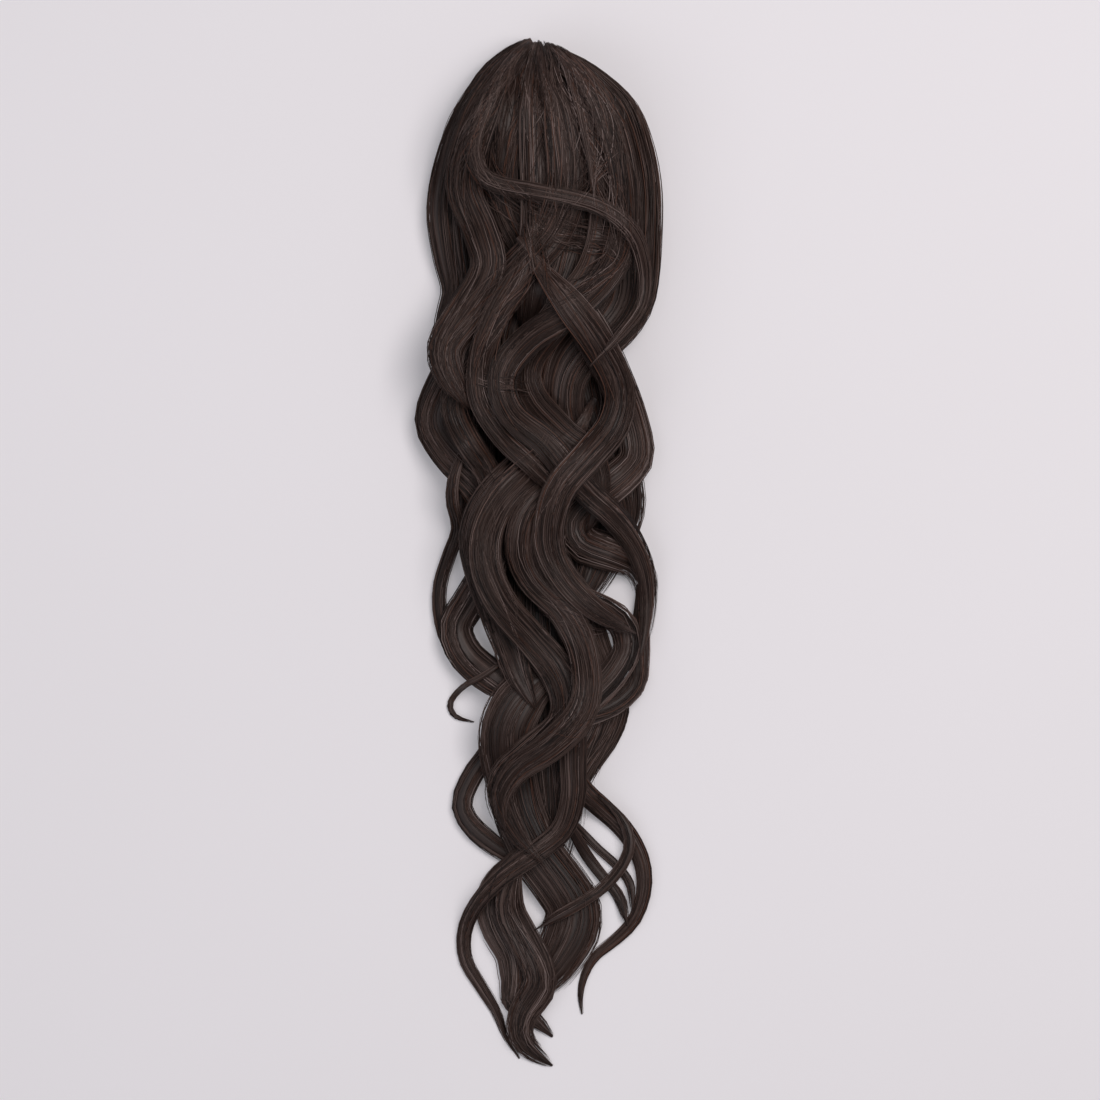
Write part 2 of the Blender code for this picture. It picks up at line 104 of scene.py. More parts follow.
# Underlayer: the thick plain locks that lie on the table and fill out the ponytail from below.
# Each is a bundle of modacrylic fibres, gathered at the clip and drawn out to a loose tip.
HAIR_LENGTH = 0.560
HAIR_WIDTH = 0.1335
CLIP_FROM_CROWN = 0.020
STATION_SPACING = 0.0125
FEWEST_STATIONS = 12
ROW_SPACING = 0.005
RIDGE_SPACING = 0.0012
STRAND_ROW_SPACING = 0.0068
STRAND_SPACING = 0.00046
STRAND_RADIUS = 0.00024
CLUMP_WIDTH = 0.0026
STRAY_SHARE = 0.06
STRAY_REACH = 0.0010
TIP_FLARE = 0.7
FIBRE_WIDTH = 0.0004
FIBRE_RUN = 0.040
BUNDLE_RADIUS = 0.82
STRAND_RIDGE = 0.03
CLUMP_RIDGE = 0.045
TOP_CLUMPS = 0.8
CLUMP_TONES = 0.16
STRAND_TONES = 0.13
WARM_STRANDS = 0.07

clip_low, clip_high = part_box("claw_clip")
CROWN = np.array(((clip_low.x + clip_high.x) / 2, clip_high.y + CLIP_FROM_CROWN))

# Modacrylic fibre, heat-set in waves: satin dark brown, greyer where the tone is light.
# Strands differ in tone, and a few are a warm red-brown. On the ridged bundles under the
# strands the tone also holds painted shade. The grain is drawn at half a millimetre,
# coarser than the real fibre, so that it shows.
fibre, tree, output = new_material("modacrylic_fibre")
run_map = add_node(tree, "ShaderNodeUVMap", {"uv_map": "run"})
grain_place = add_node(tree, "ShaderNodeMapping", None,
                       {"Vector": run_map.outputs["UV"],
                        "Scale": (1 / FIBRE_WIDTH, 1 / FIBRE_RUN, 1.0)})
grain = add_node(tree, "ShaderNodeTexNoise", {"noise_dimensions": "2D"},
                 {"Vector": grain_place.outputs["Vector"], "Scale": 1.0, "Detail": 3.0,
                  "Roughness": 0.6})
tone = add_node(tree, "ShaderNodeAttribute", {"attribute_name": "tone"})
mixed = add_node(tree, "ShaderNodeMath", {"operation": "MULTIPLY_ADD"},
                 {0: grain.outputs["Fac"], 1: 0.9, 2: tone.outputs["Fac"]})
shade = add_node(tree, "ShaderNodeValToRGB", None, {"Fac": mixed.outputs["Value"]})
ramp = shade.color_ramp
ramp.elements[0].position = 0.05
ramp.elements[0].color = linear("#140a08")
ramp.elements[1].position = 1.00
ramp.elements[1].color = linear("#83726e")
for place_on_ramp, colour in ((0.40, "#372620"), (0.70, "#584742")):
    stop = ramp.elements.new(place_on_ramp)
    stop.color = linear(colour)
warm = add_node(tree, "ShaderNodeAttribute", {"attribute_name": "warm"})
colour_mix = add_node(tree, "ShaderNodeMix", {"data_type": "RGBA"},
                      {"Factor": warm.outputs["Fac"], "A": shade.outputs["Color"],
                       "B": linear("#6b4230")})
grain_bump = add_node(tree, "ShaderNodeBump", None,
                      {"Height": grain.outputs["Fac"], "Strength": 0.3, "Distance": 0.0003})
satin = add_node(tree, "ShaderNodeBsdfPrincipled", None,
                 {"Base Color": colour_mix.outputs["Result"], "Roughness": 0.50, "IOR": 1.52,
                  "Specular IOR Level": 0.40, "Normal": grain_bump.outputs["Normal"]})
finish_with(tree, output, satin)


def spline_at(points, where):
    """Catmull-Rom curve through points, read at fractional places: each span leaves and
    arrives along the chord of its neighbours."""
    held = np.vstack((2 * points[:1] - points[1:2], points, 2 * points[-1:] - points[-2:-1]))
    span = np.clip(where.astype(int), 0, len(points) - 2)
    share = (where - span)[:, None]
    before, start, end, after = (held[span + shift] for shift in range(4))
    bend = 2 * before - 5 * start + 4 * end - after
    twist = 3 * start - before - 3 * end + after
    return start + 0.5 * (share * (end - before) + share**2 * bend + share**3 * twist)


def even_places(points, spacing, fewest):
    """Fractional places at equal steps of length along the curve, and the curve's length."""
    dense = np.linspace(0, len(points) - 1, 16 * (len(points) - 1) + 1)
    steps = np.linalg.norm(np.diff(spline_at(points, dense), axis=0), axis=1)
    run = np.concatenate(((0.0,), np.cumsum(steps)))
    count = max(fewest, round(run[-1] / spacing) + 1)
    return np.interp(np.linspace(0, run[-1], count), run, dense), run[-1]


def on_table(bends):
    """Bends as shares below the crown and across, turned to metres in the row frame."""
    bends = np.array(bends)
    return np.column_stack((CROWN[0] + bends[:, 1] * HAIR_WIDTH / 2,
                            CROWN[1] - bends[:, 0] * HAIR_LENGTH))


def unit(vectors):
    """Vectors of length one."""
    return vectors / np.linalg.norm(vectors, axis=-1, keepdims=True)


def sides_of(path):
    """Directions across a path on the table, pointing left of its run."""
    along = unit(np.gradient(path, axis=0))
    return np.column_stack((-along[:, 1], along[:, 0]))


def corners_of(node):
    """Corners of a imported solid, each once."""
    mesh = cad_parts[node].data
    corners = np.empty(3 * len(mesh.vertices), np.float32)
    mesh.vertices.foreach_get("co", corners)
    return np.unique(corners.reshape(-1, 3).round(6), axis=0).astype(float)


def lock_sections(node, bends):
    """Centres, directions across and up, and half sizes along a lock, read off its solid.
    Each corner of the solid belongs to the station whose line across passes through it."""
    plan = on_table(bends)
    places, length = even_places(plan, STATION_SPACING, FEWEST_STATIONS)
    stations = spline_at(plan, places)
    side = sides_of(stations)
    corners = corners_of(node)
    away = corners[:, None, :2] - stations[None]
    across = (away * side[None]).sum(axis=2)
    ahead = away[..., 0] * side[None, :, 1] - away[..., 1] * side[None, :, 0]
    owner = (np.abs(ahead) + 0.1 * np.abs(across)).argmin(axis=1)
    across = across[np.arange(len(corners)), owner]
    ring = owner[None] == np.arange(len(stations))[:, None]
    members = ring.sum(axis=1)
    height = (ring * corners[:, 2]).sum(axis=1) / members
    rise = corners[:, 2] - height[owner]
    lean = (ring * across * rise).sum(axis=1) / (ring * across**2).sum(axis=1)
    half_width = (ring * np.abs(across)).max(axis=1)
    half_thickness = (ring * np.abs(rise - lean[owner] * across)).max(axis=1)
    sizes = np.column_stack((height, lean, half_width, half_thickness))

    rows, _ = even_places(plan, ROW_SPACING, 2 * FEWEST_STATIONS)
    path = spline_at(plan, rows)
    at_station = np.linspace(0, len(stations) - 1, len(rows))
    height, lean, half_width, half_thickness = spline_at(sizes, at_station).T
    centre = np.column_stack((path, height))
    side = unit(np.column_stack((sides_of(path), lean)))
    up = unit(np.cross(unit(np.gradient(centre, axis=0)), side))
    up *= np.sign(up[:, 2:])
    return centre, side, up, np.maximum(half_width, 0.0004), np.maximum(half_thickness, 0.0003), length


def slow_noise(rng, rows, columns, knots):
    """Random rows that change smoothly from knot to knot down the columns."""
    values = rng.normal(size=(knots, columns))
    return spline_at(values, np.linspace(0, knots - 1, rows))


def ridged_tube(rng, sections, columns):
    """Closed tube with a ridge for each clump and each strand of fibres. Its radius is that
    of the section's ellipse times one less a share for the furrows between them. It also
    returns a tone for each corner that is painted shade: darker in the furrows, lighter on
    the ridges, and darker overall, as the bundle lies in shade under its strands."""
    centre, side, up, half_width, half_thickness, length = sections
    rows = len(centre)
    knots = max(4, int(length / 0.05))
    clumps = max(3, columns // 7)
    fine = slow_noise(rng, rows, columns, knots)
    coarse = slow_noise(rng, rows, clumps, max(3, knots // 2))
    spread = np.linspace(0, clumps, columns, endpoint=False)
    first = spread.astype(int)
    blend = 0.5 - 0.5 * np.cos(np.pi * (spread - first))
    coarse = coarse[:, first] * (1 - blend) + coarse[:, (first + 1) % clumps] * blend
    ridges = STRAND_RIDGE * np.clip(fine, -2, 2), CLUMP_RIDGE * np.clip(coarse, -1.6, 1.6)
    radius = BUNDLE_RADIUS + ridges[0] + ridges[1]
    turn = np.arange(columns) / columns * 2 * np.pi
    across = radius * np.cos(turn) * half_width[:, None]
    above = radius * np.sin(turn) * half_thickness[:, None]
    points = (centre[:, None] + across[..., None] * side[:, None] + above[..., None] * up[:, None])
    # Painted shade: the tone is darker in the furrows, lighter on the ridges and darker overall.
    return points, coarse * 0.10 + fine * 0.08 - 0.10


def tube_faces(rows, columns):
    """Triangles round a closed tube of rings with fans at both ends, and for each corner the
    row and unrolled column that it stands at."""
    row, column = np.meshgrid(np.arange(rows - 1), np.arange(columns), indexing="ij")
    row, column = row.ravel(), column.ravel()
    square = np.stack((row, row, row + 1, row + 1)), np.stack((column, column + 1, column + 1, column))
    order = [0, 1, 2, 0, 2, 3]
    rows_of = square[0][order].T.reshape(-1, 3)
    columns_of = square[1][order].T.reshape(-1, 3)
    middle = np.arange(1, columns - 1)
    zero = np.zeros_like(middle)
    near = np.column_stack((zero, middle + 1, middle))
    far = np.column_stack((zero, middle, middle + 1))
    rows_of = np.vstack((rows_of, np.zeros_like(near), np.full_like(far, rows - 1)))
    columns_of = np.vstack((columns_of, near, far))
    return rows_of, columns_of


def strand_tubes(paths, radii):
    """Three-sided tubes along many paths, with one side up. Each ring lies across its path,
    and its radius falls to a point at both ends."""
    along = unit(np.gradient(paths, axis=1))
    out = unit(np.cross(along, np.broadcast_to((0.0, 0.0, 1.0), along.shape)))
    lift = np.cross(out, along)
    turn = np.array((np.pi / 6, np.pi * 5 / 6, np.pi * 3 / 2))
    ring = (np.cos(turn)[:, None] * out[:, :, None] + np.sin(turn)[:, None] * lift[:, :, None])
    return paths[:, :, None] + ring * radii[:, :, None, None]


class Piece:
    """Meshes gathered into one object, with the fibre's run and tone at each corner; on the
    bundles the tone also holds painted shade.
    """

    def __init__(self):
        self.points, self.faces, self.uv, self.tone, self.warm = [], [], [], [], []
        self.count = 0

    def add(self, points, faces, uv, tone, warm):
        self.points.append(points)
        self.faces.append(faces + self.count)
        self.uv.append(uv)
        self.tone.append(tone)
        self.warm.append(warm)
        self.count += len(points)

    def add_tube(self, points, tone, length, girth):
        rows, columns = points.shape[:2]
        rows_of, columns_of = tube_faces(rows, columns)
        faces = rows_of * columns + columns_of % columns
        uv = np.stack((columns_of * girth / columns, rows_of * length / (rows - 1)), axis=-1)
        self.add(points.reshape(-1, 3), faces, uv, tone.ravel(), np.zeros(rows * columns))

    def add_strands(self, rings, tones, warms, length):
        count, rows, columns = rings.shape[:3]
        rows_of, columns_of = tube_faces(rows, columns)
        one = rows_of * columns + columns_of % columns
        faces = (one[None] + (np.arange(count) * rows * columns)[:, None, None]).reshape(-1, 3)
        uv = np.stack((columns_of * 0.0003, rows_of * length / (rows - 1)), axis=-1)
        shift = np.arange(count)[:, None, None, None] * np.array((0.0071, 0.0113))
        uv = (uv[None] + shift).reshape(-1, 3, 2)
        each = rows * columns
        self.add(rings.reshape(-1, 3), faces, uv, np.repeat(tones, each), np.repeat(warms, each))

    def build(self, name, material):
        points, faces = np.vstack(self.points), np.vstack(self.faces)
        mesh = bpy.data.meshes.new(name)
        mesh.vertices.add(len(points))
        mesh.vertices.foreach_set("co", points.astype(np.float32).ravel())
        mesh.loops.add(3 * len(faces))
        mesh.loops.foreach_set("vertex_index", faces.astype(np.int32).ravel())
        mesh.polygons.add(len(faces))
        mesh.polygons.foreach_set("loop_start", np.arange(0, 3 * len(faces), 3, dtype=np.int32))
        mesh.update(calc_edges=True)
        run = mesh.uv_layers.new(name="run")
        run.data.foreach_set("uv", np.concatenate(self.uv).astype(np.float32).ravel())
        for label, values in (("tone", self.tone), ("warm", self.warm)):
            attribute = mesh.attributes.new(label, "FLOAT", "POINT")
            attribute.data.foreach_set("value", np.concatenate(values).astype(np.float32))
        mesh.shade_smooth()
        mesh.materials.append(material)
        thing = bpy.data.objects.new(name, mesh)
        bpy.context.scene.collection.objects.link(thing)
        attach(thing, "root")
        return thing


def strand_paths(rng, sections, count):
    """Paths of strands inside a lock: each keeps near one place in the section, drifts slowly
    round it with its clump, and starts and ends at its own share of the lock's length."""
    centre, side, up, half_width, half_thickness, length = sections
    rows = max(14, int(length / STRAND_ROW_SPACING))
    share = np.linspace(0, 1, rows)
    clump_count = max(3, int(2.2 * half_width.max() * 2 / CLUMP_WIDTH))
    all_round = rng.uniform(0, 2 * np.pi, clump_count)
    on_top = rng.uniform(-0.3, np.pi + 0.3, clump_count)
    clump_turn = np.where(rng.random(clump_count) < TOP_CLUMPS, on_top, all_round)
    clump = rng.integers(0, clump_count, count)
    turn = clump_turn[clump] + rng.normal(0, 0.20, count)
    depth = np.minimum(rng.normal(0.90, 0.07, count), 1.0)
    stray = (rng.random(count) < STRAY_SHARE) * rng.uniform(0, STRAY_REACH, count)
    stray = stray[:, None] * np.sin(np.pi * share)
    start = rng.uniform(0, 0.04, count)
    end = 1 - np.abs(rng.normal(0, 0.06, count))
    place = (start[:, None] + (end - start)[:, None] * share) * (len(centre) - 1)
    knots = max(4, int(length / 0.06))
    clump_drift = slow_noise(rng, rows, clump_count, max(3, knots // 2)).T[clump] * 0.20
    own_drift = slow_noise(rng, rows, count, knots).T * 0.09
    turn = turn[:, None] + clump_drift + own_drift
    depth = depth[:, None] + slow_noise(rng, rows, count, knots).T * 0.03
    depth = depth * (1 + TIP_FLARE * share**10)
    flat = place.ravel()
    here = spline_at(np.column_stack((centre, side, up, half_width, half_thickness)), flat)
    here = here.reshape(count, rows, -1)
    across = np.cos(turn) * (depth * here[..., 9] + stray)
    above = np.sin(turn) * (depth * here[..., 10] + stray)
    paths = here[..., 0:3] + across[..., None] * here[..., 3:6] + above[..., None] * here[..., 6:9]
    thin = np.minimum(1, np.minimum(share * 12, (1 - share) * 7)) * 0.85 + 0.15
    radii = rng.uniform(0.7, 1.25, count)[:, None] * STRAND_RADIUS * thin
    paths[..., 2] = np.maximum(paths[..., 2], STRAND_RADIUS)
    return paths, radii, clump


def shade_strands(rng, count, clump):
    """Tone and warmth of each strand: its clump's tone and a little of its own."""
    tones = rng.normal(0, CLUMP_TONES, clump.max() + 1)[clump]
    tones = tones + rng.normal(0, STRAND_TONES, count)
    warm = rng.random(count) < WARM_STRANDS
    return tones, np.where(warm, rng.uniform(0.2, 0.6, count), 0.0)


lock_runs, hair_tops = {}, []


def hair_lock(node, bends, seed, spacing=STRAND_SPACING):
    """A lock of hair in place of its solid: a ridged bundle under a cover of loose strands."""
    rng = np.random.default_rng(seed)
    sections = lock_sections(node, bends)
    half_width, half_thickness, length = sections[3:]
    girth = 2 * np.pi * np.sqrt((half_width.max() ** 2 + half_thickness.max() ** 2) / 2)
    columns = max(12, int(girth / RIDGE_SPACING))
    piece = Piece()
    # The bundle's tone holds painted shade: darker in its furrows and under the strands, lighter on
    # its ridges.
    body, tone = ridged_tube(rng, sections, columns)
    piece.add_tube(body, tone + rng.normal(0, 0.03), length, girth)
    dense = np.linspace(0, len(body) - 1, 6 * len(body))
    hair_tops.append(spline_at(body.reshape(len(body), -1), dense).reshape(-1, 3))
    lock_runs[node] = sections
    count = max(10, int(girth / spacing))
    paths, radii, clump = strand_paths(rng, sections, count)
    piece.add_strands(strand_tubes(paths, radii), *shade_strands(rng, count, clump), length)
    thing = piece.build(f"{node}_hair", fibre)
    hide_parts(node)
    return thing


UNDER_LOCKS = {
    "under_fall": (
        (0.21, 0.00), (0.32, -0.02), (0.45, 0.00), (0.57, 0.03), (0.66, 0.06), (0.74, 0.10),
        (0.82, 0.12)),
    "under_left_lock": (
        (0.21, -0.36), (0.27, -0.44), (0.34, -0.52), (0.42, -0.54), (0.47, -0.52),
        (0.51, -0.42), (0.56, -0.26)),
    "under_right_lock": (
        (0.21, 0.38), (0.26, 0.46), (0.33, 0.42), (0.40, 0.58), (0.45, 0.66), (0.50, 0.54),
        (0.56, 0.30)),
}
for number, (node, bends) in enumerate(UNDER_LOCKS.items()):
    hair_lock(node, bends, 100 + number, 2 * STRAND_SPACING)


# Side bulk of the crown: the two thickest locks, which swell round the clip on either side.
CROWN_SIDES = {
    "left_crown_lock": (
        (0.005, -0.07), (0.014, -0.20), (0.036, -0.34), (0.07, -0.44), (0.11, -0.58),
        (0.16, -0.67), (0.205, -0.64), (0.245, -0.59), (0.285, -0.68), (0.335, -0.64),
        (0.40, -0.56), (0.46, -0.62)),
    "right_crown_lock": (
        (0.012, 0.10), (0.032, 0.32), (0.07, 0.53), (0.11, 0.66), (0.15, 0.72), (0.20, 0.72),
        (0.25, 0.69), (0.28, 0.54), (0.30, 0.34), (0.335, 0.20), (0.38, 0.24), (0.43, 0.58),
        (0.475, 0.66), (0.515, 0.46)),
}
for number, (node, bends) in enumerate(CROWN_SIDES.items()):
    hair_lock(node, bends, 200 + number)


# Left side: the bulge below the crown, the two curls that stand out round the crescent gap,
# the small loop under them and the open curl at the start of the tail.
LEFT_LOCKS = {
    "left_bulge_lock": (
        (0.22, -0.20), (0.29, -0.48), (0.33, -0.73), (0.37, -0.86), (0.40, -0.74),
        (0.425, -0.54), (0.45, -0.40), (0.48, -0.36), (0.52, -0.42)),
    "left_outer_curl": (
        (0.37, -0.44), (0.41, -0.64), (0.445, -0.70), (0.475, -0.65), (0.50, -0.72),
        (0.53, -0.80), (0.56, -0.80), (0.59, -0.72), (0.615, -0.52), (0.64, -0.28),
        (0.67, -0.26)),
    "left_inner_curl": (
        (0.45, -0.20), (0.48, -0.30), (0.515, -0.40), (0.548, -0.56), (0.572, -0.67),
        (0.598, -0.59), (0.618, -0.40), (0.638, -0.16), (0.665, 0.00)),
    "small_left_loop": (
        (0.60, -0.22), (0.617, -0.42), (0.629, -0.60), (0.645, -0.71), (0.658, -0.67),
        (0.664, -0.52)),
    "left_lower_curl": (
        (0.62, -0.02), (0.66, -0.28), (0.69, -0.38), (0.715, -0.53), (0.742, -0.62),
        (0.763, -0.55), (0.782, -0.37), (0.799, -0.16), (0.815, 0.02)),
    "left_nape_lock": (
        (0.27, -0.40), (0.31, -0.56), (0.355, -0.68), (0.39, -0.58), (0.42, -0.42),
        (0.45, -0.36), (0.48, -0.42), (0.52, -0.48)),
}
for number, (node, bends) in enumerate(LEFT_LOCKS.items()):
    hair_lock(node, bends, 300 + number)


# Right side: the long wave down the middle, the flat panel behind the tail and the two curls
# that ring the round gap.
RIGHT_LOCKS = {
    "right_middle_lock": (
        (0.16, 0.00), (0.21, 0.04), (0.24, 0.16), (0.28, 0.40), (0.33, 0.62), (0.37, 0.75),
        (0.405, 0.80), (0.425, 0.68), (0.447, 0.46), (0.47, 0.30), (0.49, 0.36), (0.50, 0.58),
        (0.512, 0.80), (0.535, 0.88), (0.57, 0.84)),
    "right_tail_panel": (
        (0.49, 0.12), (0.55, 0.28), (0.60, 0.42), (0.64, 0.54), (0.67, 0.49), (0.70, 0.36),
        (0.73, 0.25), (0.76, 0.20)),
    "right_lower_curl": (
        (0.53, 0.82), (0.56, 0.83), (0.60, 0.83), (0.628, 0.80), (0.648, 0.62), (0.66, 0.36),
        (0.68, 0.10), (0.70, -0.04)),
    "right_inner_curl": (
        (0.52, 0.10), (0.54, 0.30), (0.555, 0.53), (0.568, 0.68), (0.592, 0.73), (0.616, 0.62),
        (0.64, 0.44), (0.67, 0.28)),
}
for number, (node, bends) in enumerate(RIGHT_LOCKS.items()):
    hair_lock(node, bends, 400 + number)


# Tail: the forked lock and its crossing strands on the right, and the locks that wind
# together down to the tips.
TAIL_LOCKS = {
    "right_fork_lock": (
        (0.66, 0.30), (0.70, 0.28), (0.728, 0.36), (0.745, 0.505), (0.762, 0.66),
        (0.78, 0.775), (0.80, 0.85), (0.822, 0.87), (0.843, 0.835), (0.86, 0.765),
        (0.876, 0.63), (0.892, 0.465), (0.91, 0.38), (0.93, 0.345), (0.948, 0.36)),
    "fork_strand_a": (
        (0.744, 0.20), (0.762, 0.30), (0.785, 0.48), (0.803, 0.645), (0.822, 0.76),
        (0.848, 0.77)),
    "fork_strand_b": (
        (0.744, 0.17), (0.768, 0.28), (0.793, 0.40), (0.813, 0.52), (0.834, 0.66),
        (0.862, 0.73)),
    "fork_strand_c": (
        (0.735, 0.49), (0.752, 0.65), (0.77, 0.735), (0.787, 0.745), (0.805, 0.68),
        (0.825, 0.53), (0.841, 0.33), (0.853, 0.15), (0.866, -0.03)),
    "tail_panel_lock": (
        (0.585, 0.38), (0.61, 0.14), (0.637, -0.12), (0.665, -0.25), (0.69, -0.26),
        (0.72, -0.21), (0.755, -0.14), (0.79, -0.01), (0.82, 0.17), (0.842, 0.28),
        (0.866, 0.27), (0.895, 0.15), (0.92, 0.00), (0.945, -0.07)),
    "tail_left_lock": (
        (0.78, -0.10), (0.81, -0.28), (0.838, -0.38), (0.865, -0.33), (0.89, -0.21),
        (0.915, -0.18), (0.935, -0.20), (0.948, -0.09), (0.959, 0.02), (0.97, 0.12)),
    "tail_middle_lock": (
        (0.79, -0.08), (0.815, -0.20), (0.845, -0.23), (0.873, -0.12), (0.898, -0.01),
        (0.92, 0.02), (0.945, -0.11), (0.965, -0.14), (0.982, -0.06), (0.998, 0.12)),
    "tail_cross_lock": (
        (0.60, 0.24), (0.65, 0.30), (0.70, 0.29), (0.735, 0.29), (0.768, 0.20), (0.79, -0.02),
        (0.815, -0.31), (0.84, -0.50), (0.867, -0.60), (0.895, -0.59), (0.92, -0.47),
        (0.945, -0.34), (0.969, -0.265), (0.991, -0.15)),
}
for number, (node, bends) in enumerate(TAIL_LOCKS.items()):
    hair_lock(node, bends, 500 + number)


# Crown cover: three wide thin strips that fan out from the crown over the clip.
CROWN_STRIPS = {
    "crown_left_strip": (
        (0.003, -0.08), (0.02, -0.15), (0.07, -0.26), (0.125, -0.34), (0.165, -0.30),
        (0.205, -0.14), (0.25, 0.00)),
    "crown_middle_strip": (
        (0.005, -0.02), (0.07, 0.01), (0.13, 0.04), (0.185, 0.04), (0.23, 0.00),
        (0.29, -0.10)),
    "crown_right_strip": (
        (0.008, 0.06), (0.025, 0.18), (0.07, 0.31), (0.125, 0.38), (0.18, 0.38), (0.23, 0.28),
        (0.29, 0.06)),
}
for number, (node, bends) in enumerate(CROWN_STRIPS.items()):
    hair_lock(node, bends, 600 + number)


# Middle of the fall: the waves that wind side by side down the front below the crown.
MIDDLE_LOCKS = {
    "left_panel_lock": (
        (0.36, 0.14), (0.395, 0.02), (0.42, -0.18), (0.45, -0.40), (0.485, -0.51),
        (0.52, -0.45), (0.555, -0.33), (0.59, -0.22), (0.62, -0.14), (0.65, -0.02)),
    "middle_s_lock": (
        (0.35, 0.46), (0.39, 0.28), (0.417, -0.03), (0.445, -0.28), (0.48, -0.42),
        (0.515, -0.42), (0.55, -0.29), (0.582, -0.06), (0.614, 0.16), (0.645, 0.24),
        (0.67, 0.18), (0.694, -0.06), (0.715, -0.26), (0.74, -0.30), (0.775, -0.16),
        (0.80, 0.04)),
    "right_s_lock": (
        (0.39, 0.24), (0.43, 0.12), (0.46, -0.08), (0.495, -0.14), (0.525, -0.04),
        (0.555, 0.20), (0.59, 0.35), (0.63, 0.40), (0.66, 0.32), (0.688, 0.08), (0.71, -0.18),
        (0.74, -0.31), (0.77, -0.26)),
}
for number, (node, bends) in enumerate(MIDDLE_LOCKS.items()):
    hair_lock(node, bends, 700 + number)


# Top layer: the long locks that leave the crown together and cross over the front, and the
# narrow lock that lies across the dome.
TOP_LOCKS = {
    "left_group_lock": (
        (0.006, 0.00), (0.03, 0.08), (0.08, 0.20), (0.145, 0.24), (0.19, 0.12), (0.23, -0.18),
        (0.27, -0.52), (0.30, -0.70), (0.33, -0.69), (0.36, -0.58)),
    "left_s_lock": (
        (0.004, -0.05), (0.014, -0.16), (0.05, -0.35), (0.10, -0.52), (0.145, -0.60),
        (0.19, -0.46), (0.225, -0.40), (0.265, -0.58), (0.30, -0.76), (0.33, -0.71),
        (0.36, -0.54)),
    "left_ringlet": (
        (0.17, -0.02), (0.23, -0.14), (0.265, -0.32), (0.31, -0.46), (0.35, -0.46),
        (0.385, -0.28), (0.415, -0.02), (0.44, 0.16), (0.47, 0.22)),
    "middle_ringlet": (
        (0.008, 0.06), (0.024, 0.20), (0.07, 0.41), (0.15, 0.54), (0.22, 0.46), (0.27, 0.18),
        (0.315, -0.08), (0.35, -0.05), (0.385, 0.20), (0.405, 0.42), (0.44, 0.50),
        (0.48, 0.40)),
    "right_long_lock": (
        (0.009, 0.10), (0.027, 0.28), (0.06, 0.49), (0.11, 0.65), (0.17, 0.71), (0.22, 0.62),
        (0.26, 0.34), (0.293, -0.06), (0.328, -0.29), (0.365, -0.22), (0.395, 0.08),
        (0.435, 0.36), (0.47, 0.66), (0.505, 0.84), (0.54, 0.90), (0.575, 0.88),
        (0.603, 0.83)),
    "middle_long_lock": (
        (0.195, -0.16), (0.228, 0.04), (0.262, 0.27), (0.30, 0.50), (0.34, 0.66),
        (0.375, 0.62), (0.405, 0.42), (0.435, 0.20), (0.465, 0.11), (0.495, 0.10),
        (0.525, 0.22), (0.55, 0.42), (0.566, 0.62), (0.578, 0.80)),
    "cross_lock": (
        (0.006, -0.07), (0.03, -0.26), (0.08, -0.46), (0.115, -0.52), (0.14, -0.40),
        (0.152, 0.00), (0.165, 0.48), (0.19, 0.76), (0.225, 0.86), (0.26, 0.84), (0.29, 0.66),
        (0.32, 0.42)),
}
for number, (node, bends) in enumerate(TOP_LOCKS.items()):
    hair_lock(node, bends, 800 + number)


# Loose top layer: single hairs combed over the locks and across the seams between them, and
# the fan of hairs that hides the locks' roots at the crown. They lie on whatever is below.
COVER_CELL = 0.001
CROWN_FAN_LENGTH = 0.16
CROWN_FAN_ROUNDING = 0.7
CROWN_FAN_STRANDS = 420
CROWN_FAN_CLUMPS = 34
COMBED_SPACING = 0.0007
COMBED_SPREAD = 1.25
LEAST_ON_HAIR = 0.985
LEAST_COVER = 0.002
STEEPEST_STEP = 0.009


def cover_heights(tops):
    """Height of the hair over square cells of the table, widened and smoothed by one cell."""
    points = np.vstack(tops)
    low = points[:, :2].min(axis=0) - 0.02
    size = ((points[:, :2].max(axis=0) + 0.02 - low) / COVER_CELL).astype(int)
    heights = np.zeros(size)
    cell = ((points[:, :2] - low) / COVER_CELL).round().astype(int)
    np.maximum.at(heights, (cell[:, 0], cell[:, 1]), points[:, 2])
    for axis in (0, 1):
        heights = np.maximum.reduce([np.roll(heights, step, axis) for step in (-1, 0, 1)])
    for axis in (0, 1):
        heights = (np.roll(heights, 1, axis) + 2 * heights + np.roll(heights, -1, axis)) / 4
    return heights, low


def height_at(flat, cover, low):
    """Height of the cover at plan points, blended between the four cells around each."""
    place = (flat - low) / COVER_CELL
    cell = np.clip(place.astype(int), 0, np.array(cover.shape) - 2)
    share = np.clip(place - cell, 0, 1)
    column, row = cell[..., 0], cell[..., 1]
    near = cover[column, row] * (1 - share[..., 0]) + cover[column + 1, row] * share[..., 0]
    far = cover[column, row + 1] * (1 - share[..., 0]) + cover[column + 1, row + 1] * share[..., 0]
    return near * (1 - share[..., 1]) + far * share[..., 1]


def drape(flat, cover, low):
    """Plan paths laid on the cover, kept from dipping sharply between neighbouring rows."""
    height = height_at(flat, cover, low) + 1.5 * STRAND_RADIUS
    for _ in range(2):
        held = np.pad(height, ((0, 0), (1, 1)), mode="edge")
        height = np.maximum(height, (held[:, :-2] + 2 * height + held[:, 2:]) / 4)
    return np.concatenate((flat, height[..., None]), axis=2)


